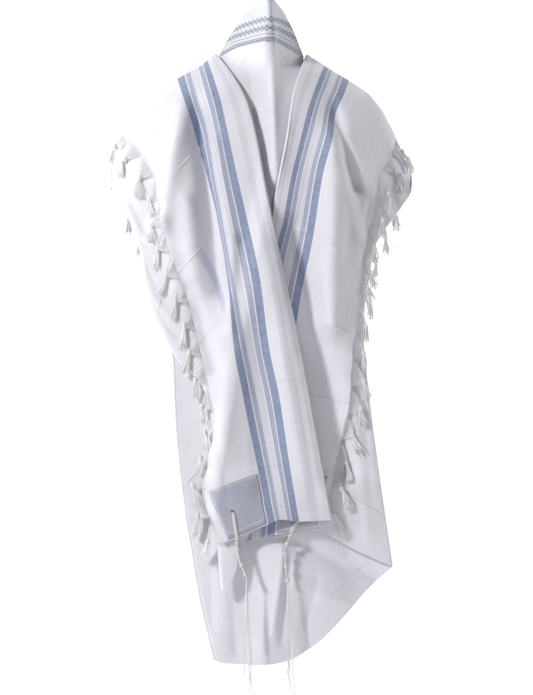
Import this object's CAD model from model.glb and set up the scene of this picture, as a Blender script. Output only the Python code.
# The looks of a striped prayer shawl, worn over both shoulders with its ends thrown back.
# Metres, +Z up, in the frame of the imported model, with the open front towards +Y.
import math

import bpy
import numpy as np
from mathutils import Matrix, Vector


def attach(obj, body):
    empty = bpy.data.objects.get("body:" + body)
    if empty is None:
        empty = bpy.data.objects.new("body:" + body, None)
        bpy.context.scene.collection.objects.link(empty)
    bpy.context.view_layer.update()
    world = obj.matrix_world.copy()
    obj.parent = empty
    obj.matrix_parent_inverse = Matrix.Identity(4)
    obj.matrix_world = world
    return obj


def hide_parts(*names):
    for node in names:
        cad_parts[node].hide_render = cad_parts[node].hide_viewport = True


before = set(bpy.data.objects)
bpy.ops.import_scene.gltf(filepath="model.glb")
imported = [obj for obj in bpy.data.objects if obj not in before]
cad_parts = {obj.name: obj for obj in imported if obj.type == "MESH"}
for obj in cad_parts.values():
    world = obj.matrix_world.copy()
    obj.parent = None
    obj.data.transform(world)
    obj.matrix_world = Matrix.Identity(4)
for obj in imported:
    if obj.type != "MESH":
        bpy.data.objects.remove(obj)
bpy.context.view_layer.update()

# The cloth as it is cut, measured from the fringed edge of an end
cloth = {
    "bandStart": 0.120,
    "bandEnd": 0.195,
    "hiddenStripe": 0.1355,  # inner side of the outer blue stripe
    "flatEnd": 0.255,  # where the turned fold of an end begins
    "wingWidth": 0.265,
    "turnWidth": 0.34,
    "napeWidth": 0.30,
    "panelWidth": 0.53,
    "panelFrontWidth": 0.30,
    "thickness": 0.0010,
    "patchInset": 0.016,
    "patchEnd": 0.116,
    "patchLow": 0.003,  # of the corner patch, above the hem
    "patchHigh": 0.098,
    "eyeletStart": 0.042,
    "eyeletEnd": 0.049,
}
# How the layers stack and how finely the sheets are made
layers = {
    "radiusTop": 0.0032,  # of a turned fold, at the shoulder
    "radiusLow": 0.0042,  # and where it hangs free
    "step": 2.0,
    "crestRound": 0.085,
    "outerRoll": 1.45,
    "rollShare": 0.016,  # of a sheet's width, for the columns of a turned fold
    "grain": 0.0042,  # spacing of the points of a wing
    "plainGrain": 0.0062,
    "rollSteps": 7,
}

# The bare shoulder line, from the neck outwards: (x, z)
rightShoulder = [
    (0.084, 0.000), (0.138, -0.036), (0.172, -0.056), (0.212, -0.083),
    (0.238, -0.116), (0.258, -0.154), (0.272, -0.188), (0.289, -0.214), (0.303, -0.246),
]
leftShoulder = [
    (-0.086, 0.004), (-0.118, -0.024), (-0.168, -0.052), (-0.206, -0.078),
    (-0.236, -0.104), (-0.258, -0.138), (-0.282, -0.168), (-0.301, -0.216), (-0.304, -0.268),
]
napeEdge = [
    (-0.086, 0.004), (-0.066, 0.044), (-0.034, 0.086), (0.016, 0.117),
    (0.044, 0.086), (0.064, 0.050), (0.084, 0.000),
]
# How far the cloth stands behind and before the shoulder line: (z, depth)
backDepth = [
    (0.120, 0.092), (0.000, 0.082), (-0.080, 0.108), (-0.160, 0.132), (-0.260, 0.141),
    (-0.500, 0.140), (-0.800, 0.146), (-1.100, 0.156), (-1.400, 0.168),
]
frontDepth = [
    (0.120, 0.030), (0.000, 0.050), (-0.080, 0.088), (-0.160, 0.108), (-0.280, 0.122), (-0.600, 0.128),
]
# Rails at the back, from the shoulder line down to the hem: (x, z)
leftWingEdge = [
    (-0.280, -0.165), (-0.244, -0.204), (-0.214, -0.266), (-0.202, -0.346), (-0.172, -0.434),
    (-0.148, -0.500), (-0.126, -0.590), (-0.108, -0.670), (-0.097, -0.745), (-0.106, -0.814),
    (-0.119, -0.886), (-0.098, -0.940), (-0.079, -0.984),
]
leftBandOut = [
    (-0.168, -0.052), (-0.154, -0.100), (-0.132, -0.176), (-0.108, -0.260), (-0.090, -0.330),
    (-0.068, -0.460), (-0.054, -0.594), (-0.032, -0.700), (-0.004, -0.820), (0.024, -0.940),
]
leftBandHidden = [  # the inner side of the outer stripe, which lies in a valley for a stretch
    (-0.155, -0.044), (-0.140, -0.100), (-0.118, -0.176), (-0.104, -0.250), (-0.087, -0.330),
    (-0.066, -0.450), (-0.042, -0.594), (-0.019, -0.700), (0.008, -0.820), (0.0345, -0.940),
]
leftBandIn = [
    (-0.104, -0.014), (-0.084, -0.094), (-0.066, -0.176), (-0.048, -0.260), (-0.032, -0.330),
    (-0.004, -0.460), (0.014, -0.594), (0.036, -0.700), (0.054, -0.820), (0.074, -0.940),
]
leftWingFold = [
    (-0.087, 0.003), (-0.042, -0.074), (-0.028, -0.106), (-0.010, -0.176), (0.005, -0.258),
    (0.020, -0.336), (0.048, -0.468), (0.067, -0.552), (0.102, -0.740), (0.138, -0.938),
]
rightWingEdge = [
    (0.266, -0.172), (0.254, -0.204), (0.234, -0.262), (0.228, -0.312), (0.212, -0.366),
    (0.200, -0.440), (0.196, -0.510), (0.184, -0.604), (0.178, -0.700), (0.160, -0.780),
    (0.140, -0.860), (0.120, -0.948),
]
rightBandOut = [
    (0.172, -0.056), (0.162, -0.088), (0.146, -0.130), (0.142, -0.170), (0.122, -0.250),
    (0.100, -0.386), (0.076, -0.500), (0.044, -0.700), (0.028, -0.840), (0.012, -0.968),
]
rightBandIn = [
    (0.122, -0.024), (0.096, -0.106), (0.076, -0.184), (0.058, -0.258), (0.042, -0.344),
    (0.032, -0.384), (0.010, -0.500), (-0.022, -0.700), (-0.042, -0.840), (-0.060, -0.986),
]
rightWingFold = [
    (0.085, 0.000), (0.062, -0.084), (0.048, -0.176), (0.030, -0.268), (0.020, -0.330),
    (-0.010, -0.500), (-0.042, -0.700), (-0.064, -0.840), (-0.080, -0.990),
]
leftTurnFold = [
    (-0.304, -0.268), (-0.304, -0.312), (-0.274, -0.328), (-0.250, -0.384), (-0.238, -0.448),
    (-0.226, -0.506), (-0.200, -0.564), (-0.172, -0.616), (-0.120, -0.672), (-0.092, -0.760),
    (-0.088, -0.986), (-0.080, -1.076),
]
leftPanelEdge = [
    (-0.303, -0.256), (-0.296, -0.306), (-0.268, -0.328), (-0.244, -0.384), (-0.232, -0.448),
    (-0.220, -0.506), (-0.196, -0.564), (-0.176, -0.614), (-0.170, -0.740), (-0.148, -0.944),
    (-0.138, -1.000), (-0.122, -1.094), (-0.092, -1.218),
]
rightTurnFold = [
    (0.303, -0.246), (0.302, -0.274), (0.282, -0.310), (0.264, -0.336), (0.240, -0.368),
    (0.226, -0.396), (0.214, -0.464), (0.206, -0.520), (0.204, -0.560), (0.216, -0.700),
    (0.234, -0.840), (0.262, -1.034),
]
# Hems at the back, from the outer edge to the fold: (share of the width, x, z)
leftWingHem = [
    (0.00, -0.079, -0.984), (0.16, -0.044, -0.970), (0.45, 0.012, -0.946), (0.58, 0.040, -0.936),
    (0.74, 0.074, -0.940), (1.00, 0.138, -0.938),
]
rightWingHem = [
    (0.00, 0.120, -0.948), (0.20, 0.086, -0.954), (0.45, 0.026, -0.968), (0.70, -0.036, -0.980),
    (1.00, -0.080, -0.990),
]
leftTurnHem = [
    (0.00, -0.080, -1.076), (0.12, -0.056, -1.050), (0.26, -0.040, -0.990), (0.45, 0.000, -0.944),
    (0.75, 0.076, -0.930), (1.00, 0.138, -0.934),
]
rightTurnHem = [
    (0.00, 0.262, -1.034), (0.20, 0.184, -1.000), (0.42, 0.106, -0.962), (0.60, 0.050, -0.972),
    (0.80, -0.020, -0.984), (1.00, -0.080, -0.994),
]
panelHem = [
    (0.00, -0.092, -1.218), (0.07, -0.070, -1.224), (0.26, 0.006, -1.226), (0.38, 0.052, -1.218),
    (0.52, 0.108, -1.186), (0.60, 0.138, -1.159), (0.82, 0.208, -1.084), (1.00, 0.262, -1.034),
]
# Rails and hems at the front, for +X
frontWingEdge = [(0.266, -0.172), (0.258, -0.280), (0.226, -0.380), (0.192, -0.478)]
frontBandOut = [(0.172, -0.056), (0.168, -0.160), (0.150, -0.320), (0.128, -0.452)]
frontBandIn = [(0.122, -0.024), (0.118, -0.140), (0.104, -0.300), (0.086, -0.440)]
frontWingFold = [(0.085, 0.000), (0.092, -0.090), (0.082, -0.220), (0.056, -0.432)]
frontTurnFold = [(0.303, -0.246), (0.301, -0.276), (0.290, -0.302), (0.276, -0.322)]
frontNeckEdge = [(0.085, 0.000), (0.085, -0.012), (0.084, -0.024), (0.083, -0.036)]
frontTurnHem = [(0.00, 0.276, -0.322), (0.50, 0.166, -0.386), (1.00, 0.056, -0.432)]
frontPanelHem = [(0.00, 0.276, -0.322), (0.50, 0.184, -0.190), (1.00, 0.083, -0.036)]
frontWingHem = [(0.00, 0.192, -0.478), (0.45, 0.128, -0.452), (1.00, 0.056, -0.432)]

# Folds of every layer at once, as ridges or, below zero, troughs along a line:
# (xTop, zTop, xLow, zLow, half width, height)
sharedFolds = [
    (-0.180, -0.190, -0.150, -0.400, 0.040, 0.009),
    (-0.112, -0.160, -0.084, -0.500, 0.036, -0.010),
    (-0.070, -0.420, -0.076, -0.800, 0.040, 0.012),
    (0.000, -0.560, 0.010, -0.860, 0.040, -0.008),
    (0.172, -0.090, 0.240, -0.240, 0.038, 0.010),
    (0.140, -0.180, 0.160, -0.560, 0.042, 0.012),
    (0.018, 0.080, 0.028, -0.240, 0.030, 0.008),
    (0.030, -1.010, 0.016, -1.200, 0.040, 0.012),
    (-0.070, -1.000, -0.080, -1.200, 0.040, 0.008),
    (0.180, -1.000, 0.200, -1.080, 0.050, -0.010),
]
fineFolds = [
    (-0.160, -0.110, -0.200, -0.350, 0.020, 0.013),  # where the lit shoulder turns into shade
    (-0.136, -0.090, -0.080, -0.480, 0.017, -0.021),  # valley across the blue stripes
    (-0.094, -0.190, -0.060, -0.380, 0.012, 0.007),  # ridge lit beside it
    (-0.060, -0.380, -0.062, -0.560, 0.014, 0.010),
    (-0.142, -0.480, -0.094, -0.640, 0.014, -0.008),
    (-0.066, -0.580, -0.096, -0.850, 0.020, 0.008),
    (0.136, -0.084, 0.186, -0.270, 0.014, -0.020),  # dark valley on the right shoulder blade
    (0.182, -0.060, 0.238, -0.240, 0.013, 0.012),
    (0.204, -0.070, 0.262, -0.240, 0.014, -0.012),
    (0.152, -0.180, 0.138, -0.540, 0.030, 0.022),  # bright fan of the right wing
    (0.164, -0.250, 0.196, -0.370, 0.011, 0.007),
    (0.062, -0.360, 0.166, -0.840, 0.026, -0.022),  # shadow beside the left wing's fold
    (-0.240, -0.190, -0.232, -0.300, 0.018, -0.007),
    (-0.200, -0.340, -0.170, -0.470, 0.014, 0.006),
    (-0.150, -0.300, -0.128, -0.480, 0.018, 0.008),
]
crossingRidge = [(0.006, -0.400, 0.092, -0.830, 0.036, 0.013)]  # where the left end stands off the right
frontFolds = [
    (0.200, -0.170, 0.168, -0.440, 0.040, 0.010),
    (0.112, -0.160, 0.082, -0.420, 0.040, 0.008),
    (0.150, -0.150, 0.128, -0.430, 0.018, -0.005),
    (0.226, -0.200, 0.205, -0.420, 0.018, -0.004),
]
# Creases of one piece at its back, in the same columns
wingCreases = {
    "left": [
        (-0.186, -0.212, -0.036, -0.170, 0.0040, 0.0016),  # where the cloth lay folded in its pack
        (-0.254, -0.360, -0.120, -0.338, 0.0040, -0.0014),
        (-0.132, -0.300, -0.078, -0.500, 0.010, -0.0024),
        (-0.040, -0.640, -0.020, -0.900, 0.016, 0.0016),
        (-0.100, -0.700, -0.062, -0.930, 0.014, -0.0020),
        (0.070, -0.640, 0.106, -0.900, 0.016, -0.0018),
        (0.030, -0.500, 0.058, -0.760, 0.014, 0.0016),
        (-0.236, -0.130, -0.200, -0.196, 0.012, 0.0030),
        (-0.262, -0.165, -0.224, -0.232, 0.009, -0.0026),
        (-0.150, -0.450, -0.118, -0.580, 0.014, 0.0026),
        (-0.075, -0.150, -0.048, -0.260, 0.012, 0.0012),
        (-0.050, -0.930, 0.060, -0.905, 0.012, 0.0010),
    ],
    "right": [
        (0.046, -0.156, 0.136, -0.170, 0.0040, -0.0014),
        (0.238, -0.235, 0.206, -0.345, 0.010, -0.0024),
        (0.206, -0.300, 0.186, -0.430, 0.012, 0.0024),
        (0.120, -0.440, 0.140, -0.560, 0.014, 0.0018),
        (0.164, -0.500, 0.150, -0.700, 0.016, -0.0020),
        (0.110, -0.600, 0.130, -0.760, 0.013, 0.0016),
        (0.174, -0.370, 0.158, -0.470, 0.010, -0.0016),
        (0.080, -0.300, 0.052, -0.430, 0.012, -0.0014),
    ],
}
panelCreases = [
    (0.016, 0.100, 0.027, -0.260, 0.0055, 0.0040),  # pressed ridge down the middle of the back
    (0.018, 0.060, 0.030, -0.260, 0.0160, 0.0060),
    (-0.026, -0.120, 0.006, -0.280, 0.0180, -0.0120),  # hollow beside the left end's fold
    (-0.030, -0.020, 0.000, -0.200, 0.012, -0.0014),
    (0.042, -1.000, 0.022, -1.160, 0.008, 0.0050),
    (0.056, -1.020, 0.040, -1.180, 0.010, -0.0050),
    (-0.060, -1.040, -0.052, -1.200, 0.012, -0.0030),
    (-0.110, -0.700, -0.100, -1.150, 0.014, -0.0030),
    (0.150, -1.010, 0.206, -1.060, 0.010, 0.0030),
    (0.070, -0.985, 0.236, -1.062, 0.020, -0.0110),  # shade under the right end's fold
    (0.060, -1.060, 0.190, -1.120, 0.016, 0.0040),
    (0.110, -1.060, 0.080, -1.180, 0.014, -0.0030),
    (-0.090, -1.180, -0.066, -1.190, 0.006, 0.0016),
]
turnCreases = {
    "left": [
        (-0.290, -0.260, -0.262, -0.330, 0.010, 0.0030),
        (-0.262, -0.300, -0.240, -0.360, 0.007, -0.0030),
        (-0.252, -0.350, -0.205, -0.420, 0.007, 0.0026),
        (-0.236, -0.430, -0.196, -0.500, 0.006, -0.0024),
        (-0.222, -0.490, -0.176, -0.540, 0.007, 0.0030),
        (-0.205, -0.545, -0.165, -0.575, 0.006, -0.0026),
        (-0.262, -0.380, -0.226, -0.390, 0.005, -0.0020),
        (-0.240, -0.470, -0.206, -0.462, 0.005, 0.0020),
    ],
    "right": [
        (0.296, -0.262, 0.262, -0.330, 0.009, 0.0028),
        (0.276, -0.270, 0.250, -0.350, 0.008, -0.0028),
        (0.230, -0.380, 0.210, -0.460, 0.008, 0.0024),
        (0.200, -0.640, 0.218, -0.900, 0.014, -0.0024),
        (0.186, -0.760, 0.214, -0.980, 0.014, 0.0022),
    ],
}

crestDrops = 0.085
backRows = 11
frontRows = 4
crestRows = 4
patchRows = (cloth["patchHigh"], cloth["eyeletEnd"], cloth["eyeletStart"], cloth["patchLow"])


def ease(value, low, high):
    share = np.clip((np.asarray(value, float) - low) / (high - low), 0.0, 1.0)
    return share * share * (3.0 - 2.0 * share)


def curveAt(keys, values, at):
    # A smooth curve through values at rising keys, without overshoot, held flat past both ends
    keys, values = np.asarray(keys, float), np.asarray(values, float)
    rises = np.diff(values) / np.diff(keys)
    slopes = np.zeros(len(keys))
    slopes[0], slopes[-1] = rises[0], rises[-1]
    before, after = rises[:-1], rises[1:]
    same = before * after > 0.0
    slopes[1:-1] = np.where(same, 2 * before * after / np.where(same, before + after, 1.0), 0.0)
    at = np.clip(at, keys[0], keys[-1])
    i = np.clip(np.searchsorted(keys, at, side="right") - 1, 0, len(keys) - 2)
    span = keys[i + 1] - keys[i]
    t = (at - keys[i]) / span
    return (
        (2 * t**3 - 3 * t**2 + 1) * values[i]
        + (t**3 - 2 * t**2 + t) * slopes[i] * span
        + (3 * t**2 - 2 * t**3) * values[i + 1]
        + (t**3 - t**2) * slopes[i + 1] * span
    )


def railX(rail, z):
    rows = rail[::-1]
    return curveAt([row[1] for row in rows], [row[0] for row in rows], z)


def sumOf(steps):
    return np.concatenate(([0.0], np.cumsum(steps)))


def reachOf(line):
    return sumOf(np.linalg.norm(np.diff(np.asarray(line, float), axis=0), axis=1))


def nearest(values, value):
    return int(np.argmin(np.abs(values - value)))


def along(line, share):
    # Points at shares of an open line's length
    line, reach = np.asarray(line, float), reachOf(line)
    target = np.asarray(share, float) * reach[-1]
    return np.stack([np.interp(target, reach, line[:, k]) for k in range(line.shape[1])], axis=-1)


def nearLine(line, x, z):
    # Distance from a line, the side of it, and the share of its length where it comes nearest
    line, reach = np.asarray(line, float), reachOf(line)
    best, side, share = np.full(x.shape, 1e9), np.zeros(x.shape), np.zeros(x.shape)
    for i, (a, b) in enumerate(zip(line, line[1:])):
        dx, dz = b - a
        t = np.clip(((x - a[0]) * dx + (z - a[1]) * dz) / (dx * dx + dz * dz), 0.0, 1.0)
        away = np.hypot(x - a[0] - t * dx, z - a[1] - t * dz)
        turned = dx * (z - a[1]) - dz * (x - a[0])
        closer = (away < best - 1e-12) | ((away < best + 1e-12) & (turned < side))
        share = np.where(away < best - 1e-12, (reach[i] + t * (reach[i + 1] - reach[i])) / reach[-1], share)
        side = np.where(closer, turned, side)
        best = np.minimum(best, away)
    return best, side, share


def byShoulder(x, measure):
    return np.where(x < 0, measure(leftShoulder, -1.0), measure(rightShoulder, 1.0))


def belowShoulder(x, z):
    # How far inside the bare shoulder line a point lies; below zero outside it
    def measure(line, sign):
        away, side, _ = nearLine(line, x, z)
        standing = (z > line[0][1]) & (np.abs(x) < abs(line[0][0]))
        return np.where((side * sign > 0.0) & ~standing, -away, away)

    return byShoulder(x, measure)


def shoulderNormal(x, z):
    # Outward direction of the shoulder line nearest to a point, averaged over a short stretch
    def measure(k):
        def one(line, sign):
            spot = nearLine(line, x, z)[2]
            way = along(line, np.clip(spot + 0.06, 0, 1)) - along(line, np.clip(spot - 0.06, 0, 1))
            way = way / np.linalg.norm(way, axis=-1, keepdims=True)
            return -way[..., 1] * sign if k == 0 else way[..., 0] * sign

        return one

    return byShoulder(x, measure(0)), byShoulder(x, measure(1))


def foldHeight(x, z, rows, crisp=False):
    total = np.zeros(x.shape)
    for xTop, zTop, xLow, zLow, halfWidth, height in rows:
        away = nearLine([(xTop, zTop), (xLow, zLow)], x, z)[0] / halfWidth
        total += height * (np.exp(0.3 - np.sqrt(away**2 * 1.7 + 0.09)) if crisp else np.exp(-(away**2)))
    return total


def formDepth(x, z, front):
    rows = sorted(frontDepth if front else backDepth)
    depth = curveAt([row[0] for row in rows], [row[1] for row in rows], z)
    hang = ease(-z, 0.35, 0.80)
    shoulders = 1.0 - (0.52 - 0.30 * hang) * (np.abs(x) / 0.31) ** 2
    collar = np.maximum(0.03, 1.0 - (np.abs(x - 0.012) / 0.094) ** 1.15)
    standing = ease(z, -0.055, 0.030)
    return depth * (standing * collar + (1.0 - standing) * shoulders)


def clothPoint(x, z, level, front=False):
    # Points of a layer that lies level outside the bare form
    x, z = np.asarray(x, float), np.asarray(z, float)
    inside = belowShoulder(x, z)
    over = 1.0 - np.clip(inside / layers["crestRound"], 0.0, 1.0)
    reach = np.sqrt(1.0 - over * over)
    folds = foldHeight(np.abs(x), z, frontFolds) if front else foldHeight(x, z, sharedFolds + fineFolds)
    depth = (formDepth(x, z, front) + folds * ease(inside, 0.02, 0.10)) * reach + level * reach
    nx, nz = shoulderNormal(x, z)
    return np.stack((x + nx * level * over, depth if front else -depth, z + nz * level * over), axis=-1)


def foldRadius(x, z):
    spread = layers["radiusLow"] - layers["radiusTop"]
    return layers["radiusTop"] + spread * ease(belowShoulder(x, z), 0.0, 0.16)


def layerLevel(step, x, z, left=False):
    # Height of a layer so many steps up the stack; the left end lies over the right one where they cross
    raised = 0.0
    if left:
        step = step + 2.0 * ease(x - railX(rightWingFold, z), -0.050, -0.012) * ease(-z, 0.22, 0.34)
        raised = foldHeight(x, z, crossingRidge)
    return step * layers["step"] * foldRadius(x, z) + raised


def rowCount(front):
    return crestRows + (frontRows if front else backRows) + len(patchRows) + 1


def fineRows(front, length, grain):
    # Fractional row numbers, whole ones being rows of the solid, spaced about a grain apart
    heights = rowHeights(0.0, -length, length, frontRows if front else backRows, np.arange(rowCount(front)))
    rows = []
    for i in range(rowCount(front) - 1):
        span = crestDrops * 1.57 / crestRows if i < crestRows else heights[i] - heights[i + 1]
        parts = max(2, math.ceil(span / grain))
        rows += [i + k / parts for k in range(parts)]
    return np.array(rows + [rowCount(front) - 1.0])


def rowHeights(top, low, length, count, rows):
    reach = top - low
    turn = min(1.0, 0.5 * reach / crestDrops)
    shares = [1.0 - row / (length - crestDrops) for row in patchRows]
    shares = [shares[0] * (i + 1) / count for i in range(count)] + shares[1:] + [1.0]
    start = top - crestDrops * turn
    below = np.array([start] + [start + (low - start) * share for share in shares])
    bent = top - crestDrops * turn * (1.0 - np.cos(np.clip(rows / crestRows, 0, 1) * math.pi / 2))
    return np.where(rows <= crestRows, bent, np.interp(rows - crestRows, np.arange(len(below)), below))


def railStations(rail, front, rows, length=None):
    reach = rail[0][1] - rail[-1][1]
    count = frontRows if front else backRows
    z = rowHeights(rail[0][1], rail[-1][1], length or reach, count, rows)
    return np.stack((railX(rail, z), z), axis=-1)


def hemAt(hem, part):
    keys = [row[0] for row in hem]
    return np.stack([curveAt(keys, [row[k] for row in hem], part) for k in (1, 2)], axis=-1)


def spread(top, hemPoints, left, right, parts):
    # Fills a four-sided patch from its bounds: the top and hem by column, the two sides by row
    away = [np.linalg.norm(side - side[0], axis=1) for side in (left, right)]
    s = (0.5 * sum(a / a[-1] for a in away))[:, None, None]
    q = parts[None, :, None]
    corners = (1 - s) * ((1 - q) * top[0] + q * top[-1]) + s * ((1 - q) * hemPoints[0] + q * hemPoints[-1])
    sides = (1 - q) * left[:, None] + q * right[:, None]
    return (1 - s) * top[None] + s * hemPoints[None] + sides - corners


def betweenRails(rails, widths, columns, hem, front, rows):
    # Fills a wing from its edge, the two sides of its stripes and its fold
    stations = [railStations(rail, front, rows) for rail in rails]
    line = leftShoulder if rails[0][0][0] < 0 else rightShoulder
    spots = [nearLine(line, np.array(rail[0][0]), np.array(rail[0][1]))[2] for rail in rails]
    crest = along(line, curveAt(widths, spots, columns))
    end = hemAt(hem, columns / widths[-1])

    def across(i):
        return np.stack([curveAt(widths, [s[i][k] for s in stations], columns) for k in range(2)], axis=-1)

    top, low = across(0), across(-1)
    grid = []
    for i, row in enumerate(rows):
        pullHem = ease(row / (rowCount(front) - 1.0), 0.45, 1.0)
        drop = stations[0][0][1] - stations[0][i][1]
        pullTop = max(0.0, 1.0 - drop / 0.30) ** 2
        grid.append(across(i) + (crest - top) * pullTop + (end - low) * pullHem)
    return np.array(grid)


def unit(vectors):
    return vectors / np.maximum(np.linalg.norm(vectors, axis=-1, keepdims=True), 1e-12)


def turnAngles():
    return np.linspace(0.0, math.pi / 2, layers["rollSteps"] + 1)


def lift(grid, step, front=False, left=False, turns=(None, None)):
    # Puts a flat grid at its level. A turn of +1 or -1 rolls an edge into the layer above or below.
    over = left and not front
    x, z = grid[..., 0], grid[..., 1]
    made = clothPoint(x, z, layerLevel(step, x, z, over), front)
    count = layers["rollSteps"] + 1
    for turn, edge, inward in ((turns[0], 0, 1), (turns[1], grid.shape[1] - 1, -1)):
        if turn is None:
            continue
        ex, ez = grid[:, edge, 0], grid[:, edge, 1]
        rail = clothPoint(ex, ez, 0.0 * ex, front)
        radius, level = foldRadius(ex, ez), layerLevel(step, ex, ez, over)
        tangent = unit(np.gradient(rail, axis=0))
        tangent[0] = (0.0, 1.0, 0.0)
        normal = unit(clothPoint(ex, ez, level + radius, front) - clothPoint(ex, ez, level, front))
        body = made[:, edge + inward * count] - made[:, edge]
        body = body - tangent * np.sum(body * tangent, axis=1, keepdims=True)
        body = unit(body - normal * np.sum(body * normal, axis=1, keepdims=True))
        for k, angle in enumerate(turnAngles()):
            spot = clothPoint(ex, ez, level + turn * (1.0 - math.cos(angle)) * radius, front)
            inwards = (1.0 - math.sin(angle)) * radius[:, None]
            made[:, edge + inward * (count - 1 - k)] = spot + body * inwards
    return made


def turnedParts(width, grain, low=True, high=True, start=0.0):
    # Column shares across a stretch of some width, with room at a turned edge for the columns of the turn
    count = layers["rollSteps"] + 1
    near = layers["rollShare"] * np.arange(count) / (count - 1.0)
    first, last = (near[-1] + 0.008 if low else start), (1.0 - near[-1] - 0.008 if high else 1.0)
    inner = np.linspace(first, last, max(4, math.ceil(width / grain)))
    return np.concatenate((near if low else [], inner, 1.0 - near[::-1] if high else []))


def sideRails(side, front=False):
    left = side == "left"
    back = {
        "wing": [leftWingEdge, leftBandOut, leftBandIn, leftWingFold] if left
        else [rightWingEdge, rightBandOut, rightBandIn, rightWingFold],
        "turn": [leftTurnFold, leftWingFold] if left else [rightTurnFold, rightWingFold],
        "wingHem": leftWingHem if left else rightWingHem,
        "turnHem": leftTurnHem if left else rightTurnHem,
    }
    if not front:
        return back
    sign = -1.0 if left else 1.0

    def mirrored(rail, matched):
        return [matched[0]] + [(sign * x, z) for x, z in rail[1:]]

    wing = [frontWingEdge, frontBandOut, frontBandIn, frontWingFold]
    return {
        "wing": [mirrored(rail, matched) for rail, matched in zip(wing, back["wing"])],
        "turn": [mirrored(frontTurnFold, back["turn"][0]), mirrored(frontWingFold, back["turn"][1])],
        "neck": mirrored(frontNeckEdge, back["turn"][1]),
        "wingHem": [(q, sign * x, z) for q, x, z in frontWingHem],
        "turnHem": [(q, sign * x, z) for q, x, z in frontTurnHem],
        "panelHem": [(q, sign * x, z) for q, x, z in frontPanelHem],
    }


def foldLength(side, front):
    rail = sideRails(side, front)["wing"][-1]
    return rail[0][1] - rail[-1][1]


def gridNormals(grid):
    return unit(np.cross(np.gradient(grid, axis=0), np.gradient(grid, axis=1)))


def outward(grid):
    # Normals that point away from the hollow inside
    normals = gridNormals(grid)
    hollow = np.array([0.0, 0.0, -0.25])
    weights = np.array([0.4, 1.0, 0.3])
    way = np.sum(normals * (grid - hollow) * weights)
    return normals if way > 0 else -normals


def wrinkles(x, z, seed, size, height):
    # Slight irregular unevenness of hanging cloth, mostly upright
    rng = np.random.default_rng(seed)
    waves, total = 9, np.zeros(x.shape)
    for _ in range(waves):
        angle = rng.normal(0.0, 0.45)
        pitch = size * rng.uniform(0.6, 1.9)
        phase, bend = rng.uniform(0, 2 * math.pi, 2)
        shift = 0.25 * np.sin(z * 9.0 + bend)
        total += np.sin((x * math.cos(angle) + z * math.sin(angle)) * 2 * math.pi / pitch + phase + shift)
    return total / waves * height


def meshFrom(name, points, faces, material, uv=None):
    data = bpy.data.meshes.new(name)
    data.from_pydata(np.asarray(points).tolist(), [], faces)
    data.polygons.foreach_set("use_smooth", [True] * len(data.polygons))
    data.materials.append(material)
    if uv is not None:
        corners = np.zeros(len(data.loops), dtype=int)
        data.loops.foreach_get("vertex_index", corners)
        layer = data.uv_layers.new(name="cut")
        layer.data.foreach_set("uv", np.asarray(uv)[corners].ravel())
    obj = bpy.data.objects.new(name, data)
    bpy.context.scene.collection.objects.link(obj)
    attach(obj, "root")
    return obj


def gridFaces(rows, columns, flip, holes=()):
    faces = []
    for i in range(rows - 1):
        for j in range(columns - 1):
            if any(r0 <= i < r1 and c0 <= j < c1 for r0, r1, c0, c1 in holes):
                continue
            a = i * columns + j
            face = (a, a + columns, a + columns + 1, a + 1)
            faces.append(face[::-1] if flip else face)
    return faces


def sheetObject(name, grid, cut, material, holes=(), thickness=None):
    # A cloth wall on a grid of points, with the cut's own coordinates, in metres, for its weave
    rows, columns = grid.shape[:2]
    flip = np.sum(gridNormals(grid) * outward(grid)) < 0
    faces = gridFaces(rows, columns, flip, holes)
    obj = meshFrom(name, grid.reshape(-1, 3), faces, material, cut.reshape(-1, 2))
    solid = obj.modifiers.new("wall", "SOLIDIFY")
    solid.thickness = thickness or cloth["thickness"]
    solid.offset = 0.0
    return obj


def cutOf(grid, widths):
    # (across, down) of each point in the flat cloth; down is the mean length from the first row
    steps = np.linalg.norm(np.diff(grid, axis=0), axis=2).mean(axis=1)
    return np.stack(np.broadcast_arrays(np.asarray(widths)[None, :], sumOf(steps)[:, None]), axis=-1)


# Finishes


def newMaterial(name, roughness, sheen=0.0, tint=(1.0, 1.0, 1.0, 1.0)):
    made = bpy.data.materials.new(name)
    made.use_nodes = True
    shader = made.node_tree.nodes["Principled BSDF"]
    shader.inputs["Roughness"].default_value = roughness
    shader.inputs["Sheen Weight"].default_value = sheen
    shader.inputs["Sheen Roughness"].default_value = 0.45
    shader.inputs["Sheen Tint"].default_value = tint
    shader.inputs["Specular IOR Level"].default_value = 0.25
    return made, made.node_tree, shader


def addNode(tree, kind, **settings):
    node = tree.nodes.new(kind)
    for key, value in settings.items():
        setattr(node, key, value)
    return node


def mathNode(tree, operation, first, second=None, third=None):
    node = addNode(tree, "ShaderNodeMath", operation=operation)
    for socket, value in zip(node.inputs, (first, second, third)):
        if value is None:
            continue
        if isinstance(value, (int, float)):
            socket.default_value = value
        else:
            tree.links.new(value, socket)
    return node.outputs[0]


def times(tree, first, second):
    return mathNode(tree, "MULTIPLY", first, second)


def sumWith(tree, value, share, rest):
    # A share of one value on top of the rest
    return mathNode(tree, "MULTIPLY_ADD", value, share, rest)


def strongest(tree, values):
    best = values[0]
    for value in values[1:]:
        best = mathNode(tree, "MAXIMUM", best, value)
    return best


def distanceFrom(tree, value, middle):
    return mathNode(tree, "ABSOLUTE", mathNode(tree, "SUBTRACT", value, middle))


def mixColour(tree, factor, first, second):
    node = addNode(tree, "ShaderNodeMix", data_type="RGBA")
    for socket, value in ((node.inputs[0], factor), (node.inputs[6], first), (node.inputs[7], second)):
        if isinstance(value, (int, float, tuple)):
            socket.default_value = value
        else:
            tree.links.new(value, socket)
    return node.outputs[2]


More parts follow.
